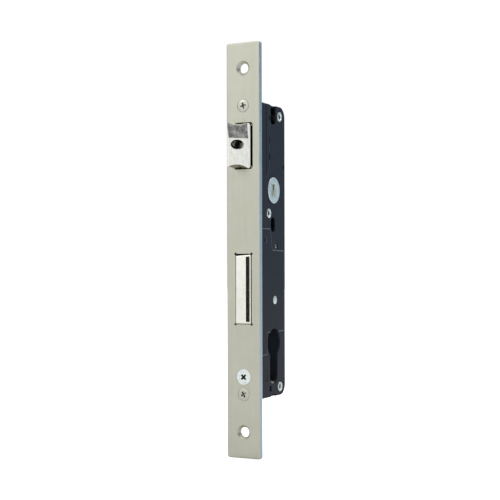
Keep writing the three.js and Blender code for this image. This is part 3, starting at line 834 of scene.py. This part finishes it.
tube("case_rivet_upper", 3, 1.5, 3.9)
tube("case_rivet_lower", 3, 1.5, 3.9)
tube("stop_post", 3, 1.4)


def pin(node, crown, dimple=0):
    """A solid pin with slightly domed, softly edged ends, dimpled where dimple is a depth."""
    y, z = centre(node, "yz")
    low, high = span(node, "x")
    radius = (span(node, "y")[1] - span(node, "y")[0]) / 2
    end = [(radius * 0.82, crown), (radius * 0.95, crown * 1.6), (radius, crown * 3)]
    if dimple:
        floor, lip, mouth = radius * 0.35, radius * 0.42, radius * 0.5
        end = [(0, dimple), (floor, dimple), (lip, dimple * 0.5), (mouth, crown)] + end
    else:
        end = [(0, 0), (radius * 0.5, crown * 0.3)] + end
    profile = [(r, low + h) for r, h in end] + [(r, high - h) for r, h in reversed(end)]
    obj = raw(node + "_fine", lathe(profile, plane_x, (y, z), 48))
    dress(shade(obj, 50), "case", ZINC, "zinc", node)
    if dimple:
        # the dimple's floor is painted near-black: painted shade
        also(obj, RECESS_SHADE, lambda c, n: math.hypot(c.y - y, c.z - z) < radius * 0.46)


pin("bolt_guide_pin", 0.12)
pin("spring_post", 0.1, 0.5)


# ---- latch ----
TIP_WIDTH = 1.2
HEEL_Y = -2.2  # where the bevel ends at the cover side
LIP_X = 3.9  # the lip on the cover side, in front of a hollow, starts here
BORE_FLOOR = -1
FACET_START, FACET_TILT = 65.6, math.radians(5)  # the facet's lower end and how far it leans


def latch_frame():
    """The bevel's two ends in plan, its direction, and the direction square to it and outwards."""
    x0, x1 = span("latch_head", "x")
    nose = (x0 + TIP_WIDTH, span("latch_head", "y")[0])
    heel = (x1, HEEL_Y)
    along = Vector((heel[0] - nose[0], heel[1] - nose[1])).normalized()
    return nose, heel, along, Vector((along.y, -along.x))


def latch_scoops():
    """Cutters for the hollow at each end, which fades out below the bevel."""
    z0, z1 = span("latch_head", "z")
    _, heel, along, normal = latch_frame()
    radius, middle_x, fade = 12, -0.9, 0.27  # fade is how far a scoop leans, as a slope
    face = Vector((middle_x, heel[1] - (heel[0] - middle_x) * along.y / along.x))
    cutters = []
    for edge, side, depth in ((z1, 1, 1.75), (z0, -1, 2.0)):
        def leaning(a, b, c, side=side):
            spot = face + along * a + normal * c
            return (spot.x, spot.y, b - side * fade * c)

        profile = [(0, -12), (radius, -12), (radius, 8), (0, 8)]
        cutters.append(lathe(profile, leaning, (0, edge + side * (radius - depth)), 160))
    return cutters


def latch_cutters():
    """Everything that is cut from the latch's bar: bevel, scoops, bore, hollow and lip."""
    x1 = span("latch_head", "x")[1]
    z0, z1 = span("latch_head", "z")
    tip, rear = span("latch_head", "y")
    nose, heel = latch_frame()[:2]
    bevel = fillet(
        [(nose[0], tip - 1), nose, heel, (x1 + 1, heel[1]), (x1 + 1, tip - 1)],
        [0, 0.5, 1.5, 0, 0],
    )
    bore = [(0, tip - 1), (2.75, tip - 1), (2.75, -1.2), (2.5, BORE_FLOOR), (0, BORE_FLOOR)]
    screw_hole = [(0, -3), (1.8, -3), (1.8, rear + 1), (0, rear + 1)]
    hollow = rectangle((49.6, 73.3), (-1.6, rear + 1), 0.4)
    side, back = x1 - 0.45, x1 - 1.75
    lip = fillet(
        [
            (back, z0 - 1), (x1 + 1, z0 - 1), (x1 + 1, z1 + 1), (back, z1 + 1),
            (back, z1), (side, z1), (side, z0), (back, z0),
        ],
        [0, 0, 0, 0, 0, 1.25, 1.25, 0],
    )
    place = centre("latch_screw", "xz")
    return [
        block(plane_z, bevel, z0 - 1, z1 + 1),
        *latch_scoops(),
        lathe(bore, plane_y, place),
        lathe(screw_hole, plane_y, place, 32),
        block(lambda a, b, c: (c, b, a), hollow, LIP_X, x1 + 1),
        block(plane_y, lip, tip - 1, -1.2),
    ]


def latch_head():
    """Cast bevelled head with a leaning upper facet, remeshed so that all its edges are soft."""
    x, y, z = (span("latch_head", axis) for axis in "xyz")
    obj = raw("latch_head_fine", prism(plane_y, rectangle(x, z, 1.3), [], *y, 0.4, 4))
    carve(obj, *latch_cutters())
    remesh = obj.modifiers.new("remesh", "REMESH")
    remesh.mode = "VOXEL"
    remesh.voxel_size = 0.15 * MM
    bpy.context.view_layer.update()
    settle(obj)

    _, heel, _, normal = latch_frame()
    out = Vector((*normal, math.tan(FACET_TILT))).normalized()
    start = Vector((*heel, FACET_START)) * MM
    for vertex in obj.data.vertices:
        proud = (vertex.co - start).dot(out)
        share = min(max((LIP_X - vertex.co.x / MM) / 0.2, 0), 1)
        if proud > 0:
            vertex.co -= out * proud * share
    smooth = obj.modifiers.new("soften", "SMOOTH")
    smooth.factor = 0.5
    smooth.iterations = 4
    bpy.context.view_layer.update()
    settle(obj)
    obj.data.shade_smooth()
    dress(obj, "latch", NICKEL, "nickel", "latch_head")

    bore_x, bore_z = centre("latch_screw", "xz")

    def in_bore(c, n):
        return math.hypot(c.x - bore_x, c.z - bore_z) < 2.85 and -6.6 < c.y < BORE_FLOOR + 0.1

    # the bore's walls are painted near-black: painted shade
    also(obj, RECESS_SHADE, in_bore)
    # the upper facet takes a darker mottle: painted reflection
    also(obj, MOTTLED_REFLECTION, lambda c, n: n.dot(out) > 0.998 and c.z > FACET_START and c.x < LIP_X)
    # faces turned down at the bottom take painted shade and reflection
    also(obj, UNDERSIDE_SHADE_NICKEL, lambda c, n: n.z < -0.75 and c.z < z[0] + 3)


latch_head()


def latch_screw():
    """A slotted cheese-head screw."""
    x, z = centre("latch_screw", "xz")
    low, tip = span("latch_screw", "y")
    head, shank = 2.4, 1.5
    profile = [
        (0, low),
        (2.1, low),
        (2.35, low + 0.15),
        (head, low + 0.4),
        (head, low + 1.9),
        (shank, low + 1.9),
        (shank, tip - 0.3),
        (1.1, tip),
        (0, tip),
    ]
    obj = raw("latch_screw_fine", lathe(profile, plane_y, (x, z), 48))
    half, thick, depth = 3, 0.4, 1.0
    ends = [(low - 1, half, thick), (low + depth, half, thick)]
    carve(obj, bar(x, z, math.radians(36), ends))
    dress(shade(obj, 35), "latch", DARK_STEEL_AND_SHADE, "dark_steel", "latch_screw")


latch_screw()


# ---- follower ----
def follower():
    """The hub with its square hole and two flanges, the arm for the latch and the front lobe."""
    y, z = SPINDLE[1:]
    low, high = span("follower", "x")
    start = math.radians(-17.5)
    half = 4  # half the spindle's width
    square = rectangle((y - half, y + half), (z - half, z + half), 0.35, 4)
    journal, flange = circle(y, z, 7.9, 96), circle(y, z, 9, 96)
    hub = prism(plane_x, journal, [square], low, high, 0.35, 4, 0.25)
    flanges = [prism(plane_x, flange, [square], *x, 0.12) for x in ((5.4, 6.3), (-2.2, -1.6))]

    def arm(length, nose, x, angle):
        outline = [(-nose, 5), (nose, 5)] + arc(0, length, nose, 0, 180, 16)
        right, up = math.cos(angle), math.sin(angle)
        turned = [(y + a * right + b * up, z - a * up + b * right) for a, b in outline]
        return prism(plane_x, turned, [], *x, 0.2)

    arms = [arm(15.22, 2, (-1.6, 1.6), start), arm(10, 1.5, (1.9, 5.2), start - math.pi / 2)]
    obj = raw("follower_fine", merge(hub, *flanges, *arms))
    dress(shade(obj), "handle_follower", ZINC, "zinc", "follower")

    def in_hole(c, n):
        inside = max(abs(c.y - y), abs(c.z - z)) < half + 0.05
        return inside and low + 0.5 < c.x < high - 0.5

    # the square hole's walls are painted lighter than the zinc: painted light
    also(obj, LIT_BORE_ZINC, in_hole)


follower()


# ---- deadbolt ----
def deadbolt_head():
    """A bright block with a deep slot down its cover side that leaves a thin rim round it."""
    x0, x1 = span("deadbolt_head", "x")
    z0, z1 = span("deadbolt_head", "z")
    front, rear = span("deadbolt_head", "y")
    plan = fillet([(x0, rear), (x0, front), (x1, front), (x1, rear)], [0.4, 0.5, 0.4, 0.4], 5)
    obj = raw("deadbolt_head_fine", prism(plane_z, plan, [], z0, z1, 0.35, 5))
    slope = 0.7  # how much lower the top is at the far side
    for vertex in obj.data.vertices:
        if vertex.co.z / MM > z1 - 1:
            vertex.co.z -= slope * MM * (x1 - vertex.co.x / MM) / (x1 - x0)
    g0, g1 = 1.9, 4.4
    groove = fillet(
        [(g0, z0 + 1.1), (g1, z0 + 0.9), (g1, z1 - 0.9), (g0, z1 - 1.3)],
        [0.5, 0.7, 0.7, 0.5],
        5,
    )
    seat_front, seat_half = 10.7, 1.3  # the seat of the tail, at the rear
    seat = [
        (-seat_half, seat_front),
        (seat_half, seat_front),
        (seat_half, rear + 2),
        (-seat_half, rear + 2),
    ]
    carve(obj, block(plane_y, groove, front - 1, front + 6), block(plane_z, seat, -43.3, -20.7))
    bevel = obj.modifiers.new("edge", "BEVEL")
    bevel.width = 0.12 * MM
    bevel.segments = 2
    bevel.limit_method = "ANGLE"
    bevel.angle_limit = math.radians(50)
    dress(shade(obj), "deadbolt", NICKEL, "nickel", "deadbolt_head")

    def in_groove(c, n):
        deep = front + 0.4 < c.y < front + 6.2
        return deep and g0 - 0.1 < c.x < g1 + 0.1 and z0 + 0.5 < c.z < z1 - 0.5

    # the groove is dark steel: partly its unplated steel, partly painted shade
    also(obj, DARK_STEEL_AND_SHADE, in_groove)


deadbolt_head()


# ---- springs ----
def coil(radius, length, turns, wire):
    """Centre line about +Z of a spring with closed end turns."""
    steps = round(turns * 40)
    closed = 1 / turns
    flat = 2.1 * wire
    path = []
    for i in range(steps + 1):
        t = i / steps
        climb = min(max((t - closed) / (1 - 2 * closed), 0), 1)
        stacked = min(t, closed) + max(t - (1 - closed), 0)
        rise = stacked / closed * flat + climb * (length - 2 * wire - 2 * flat)
        angle = TAU * turns * t
        path.append((radius * math.cos(angle), radius * math.sin(angle), wire + rise))
    return path


def coil_spring(node, axis, wire, turns):
    """A coil spring that fills the node's length along the axis."""
    low, high = span(node, axis)
    left, right = span(node, "x")
    radius = (right - left) / 2 - wire
    path = coil(radius, high - low, turns, wire)
    if axis == "y":
        x, z = centre("latch_screw", "xz")
        path = [(x + a, low + c, z - b) for a, b, c in path]
    else:
        x, y = middle("tumbler", "x"), middle("spring_post", "y")
        path = [(x + a, y + b, low + c) for a, b, c in path]
    obj = raw(node + "_fine", sweep(path, wire, 14))
    obj.data.shade_smooth()
    dress(obj, "case", SPRING, "spring_steel", node)
    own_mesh(obj)


coil_spring("latch_spring", "y", 0.4, 5.5)
coil_spring("tumbler_spring", "z", 0.3, 7.5)


def torsion_spring():
    """The coil and its lower leg stay with the case; the leg behind the arm turns with the follower."""
    y, z = SPINDLE[1:]
    wire, radius, turns = 0.6, 8.8, 2
    x_in, x_out = -3.1, -5.6
    arm_end, post_end = (22.4, 47.4), (19.6, 22.4)

    def meet(point, side):
        """The angle at which a straight leg from the point touches the coil."""
        across, up = point[0] - y, point[1] - z
        return math.atan2(up, across) + side * math.acos(radius / math.hypot(across, up))

    def wound(first, last, x_first, x_last, steps):
        found = []
        for i in range(steps + 1):
            t = i / steps
            angle = first + (last - first) * t
            x = x_first + (x_last - x_first) * t
            found.append((x, y + radius * math.cos(angle), z + radius * math.sin(angle)))
        return found

    begin = meet(arm_end, -1)
    end = meet(post_end, 1) - TAU * turns
    flat = math.radians(60)  # the turn next to the moving leg lies flat
    shared = wound(begin, begin - flat, x_in, x_in, 12)
    fixed = shared + wound(begin - flat, end, x_in, x_out, 110)[1:]
    fixed.append((x_out, *post_end))
    hook = [
        (1.2, 22.0, 47.6),
        (-1.8, 22.0, 47.6),
        (-2.5, 22.05, 47.58),
        (-2.9, 22.2, 47.5),
        (x_in, *arm_end),
    ]
    for name, path, body in (
        ("follower_spring_coil", fixed, "case"),
        ("follower_spring_leg", hook + shared, "handle_follower"),
    ):
        obj = raw(name, sweep(path, wire, 14))
        obj.data.shade_smooth()
        dress(obj, body, SPRING, "spring_steel", "follower_spring")


torsion_spring()


# ---- inner pieces that keep their CAD shape: a fine edge and a finish ----
SHOWN = {entry["node"]: entry["material_slot"] for entry in frame["record"]["subparts"]}
for node, obj in frame["nodes"].items():
    if obj.hide_render:
        continue
    obj.data.materials.clear()
    obj.data.materials.append(FINISHES[SHOWN[node]])
    obj.data.shade_smooth()
    obj.data.set_sharp_from_angle(angle=math.radians(30))
    bevel = obj.modifiers.new("edge", "BEVEL")
    bevel.width = 0.15 * MM
    bevel.segments = 2
    bevel.limit_method = "ANGLE"
    bevel.angle_limit = math.radians(50)
    weighted = obj.modifiers.new("weighted", "WEIGHTED_NORMAL")
    weighted.keep_sharp = True


# ---- studio ----
def floor():
    """A plain pale floor, bright enough to leave no more than a trace of shadow."""
    half = 4000
    corners = [(-half, -half, 0), (half, -half, 0), (half, half, 0), (-half, half, 0)]
    sheet = raw("studio_floor", (corners, [(0, 1, 2, 3)]))
    sheet.location.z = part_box("forend")[0].z - 0.0004
    look = Look("pale_floor", (0.82, 0.82, 0.8), 0, 0.9)
    look.shader.inputs["Specular IOR Level"].default_value = 0.1
    look.shader.inputs["Emission Color"].default_value = (1, 1, 1, 1)
    path = look.tree.nodes.new("ShaderNodeLightPath")
    lift = look.ranged(path.outputs["Is Camera Ray"], 0, 0.78, 0, 1)
    look.tree.links.new(lift, look.shader.inputs["Emission Strength"])
    sheet.data.materials.append(look.material)


WHITE = (1.14, 1.14, 1.1)
GREY_BLUE = (0.43, 0.56, 0.68)
CARD = (0.14, 0.14, 0.14)
SEEN = 1.02  # how bright the surround is to the camera


def surround():
    """White to look at.

    For lighting it is white in front and grey-blue low behind on the right, with dark cards up on
    the right, at the left and beside the camera."""
    world = bpy.data.worlds.new("surround")
    bpy.context.scene.world = world
    world.use_nodes = True
    tree = world.node_tree
    tree.nodes.clear()
    links = tree.links
    ray = tree.nodes.new("ShaderNodeTexCoord").outputs["Generated"]

    def towards(direction, start, end):
        """0 to 1 as the ray's share along the direction goes from start to end."""
        dot = tree.nodes.new("ShaderNodeVectorMath")
        dot.operation = "DOT_PRODUCT"
        dot.inputs[1].default_value = direction
        links.new(ray, dot.inputs[0])
        step = tree.nodes.new("ShaderNodeMapRange")
        step.interpolation_type = "SMOOTHSTEP"
        step.inputs["From Min"].default_value = start
        step.inputs["From Max"].default_value = end
        links.new(dot.outputs["Value"], step.inputs["Value"])
        return step.outputs[0]

    def times(first, second):
        product = tree.nodes.new("ShaderNodeMath")
        product.operation = "MULTIPLY"
        links.new(first, product.inputs[0])
        links.new(second, product.inputs[1])
        return product.outputs[0]

    behind = times(towards((0.8, 0.6, 0), 0.35, 0.7), towards((0, 0, -1), -0.42, -0.26))
    viewer = towards((0.456, -0.89, 0), 0.982, 0.99)
    left = towards((-1, 0, 0), 0.8, 0.9)
    right = towards((1, 0, 0), 0.3, 0.55)
    raised = times(towards((0, 0, 1), 0.14, 0.22), towards((0, 0, -1), -0.75, -0.55))
    card = times(right, raised)
    lit = blended(tree, behind, WHITE, GREY_BLUE)
    for place in (card, viewer, left):
        lit = blended(tree, place, lit, CARD)
    lighting = tree.nodes.new("ShaderNodeBackground")
    links.new(lit, lighting.inputs["Color"])
    seen = tree.nodes.new("ShaderNodeBackground")
    seen.inputs["Color"].default_value = (1, 1, 1, 1)
    seen.inputs["Strength"].default_value = SEEN
    path = tree.nodes.new("ShaderNodeLightPath")
    choice = tree.nodes.new("ShaderNodeMixShader")
    output = tree.nodes.new("ShaderNodeOutputWorld")
    links.new(path.outputs["Is Camera Ray"], choice.inputs[0])
    links.new(lighting.outputs[0], choice.inputs[1])
    links.new(seen.outputs[0], choice.inputs[2])
    links.new(choice.outputs[0], output.inputs[0])


def soft_light(name, place, size, radiance):
    """A softbox aimed at the lock, given by how bright its face is."""
    data = bpy.data.lights.new(name, "AREA")
    data.shape = "RECTANGLE"
    data.size, data.size_y = size
    data.energy = radiance * math.pi * size[0] * size[1]
    lamp = bpy.data.objects.new(name, data)
    lamp.location = place
    aim = Vector((0, 0.01, 0)) - Vector(place)
    lamp.rotation_euler = aim.to_track_quat("-Z", "Y").to_euler()
    bpy.context.scene.collection.objects.link(lamp)


floor()
surround()
soft_light("soft_key", (-0.9, -1.3, 1.1), (0.9, 0.9), 1.6)
soft_light("soft_top", (0.2, 0.3, 1.6), (1.2, 1.2), 1.4)


def camera():
    """Level, 27 degrees round to the cover side, 678 mm away, with the framing made by shift."""
    azimuth = math.radians(27.11)
    distance = 0.678
    data = bpy.data.cameras.new("camera")
    data.sensor_width = 36
    data.lens = 82.6
    data.shift_x = 0.0088
    data.shift_y = 0.027
    data.clip_start = 0.01
    made = bpy.data.objects.new("camera", data)
    place = Vector((distance * math.sin(azimuth), -distance * math.cos(azimuth), -0.0078))
    along = Vector((-math.sin(azimuth), math.cos(azimuth), 0))
    level = along.to_track_quat("-Z", "Y").to_matrix().to_4x4()
    roll = Matrix.Rotation(math.radians(-0.13), 4, "Z")
    made.matrix_world = Matrix.Translation(place) @ level @ roll
    bpy.context.scene.collection.objects.link(made)
    bpy.context.scene.camera = made


camera()
bpy.context.scene.view_settings.view_transform = "Standard"
bpy.context.scene.view_settings.look = "None"
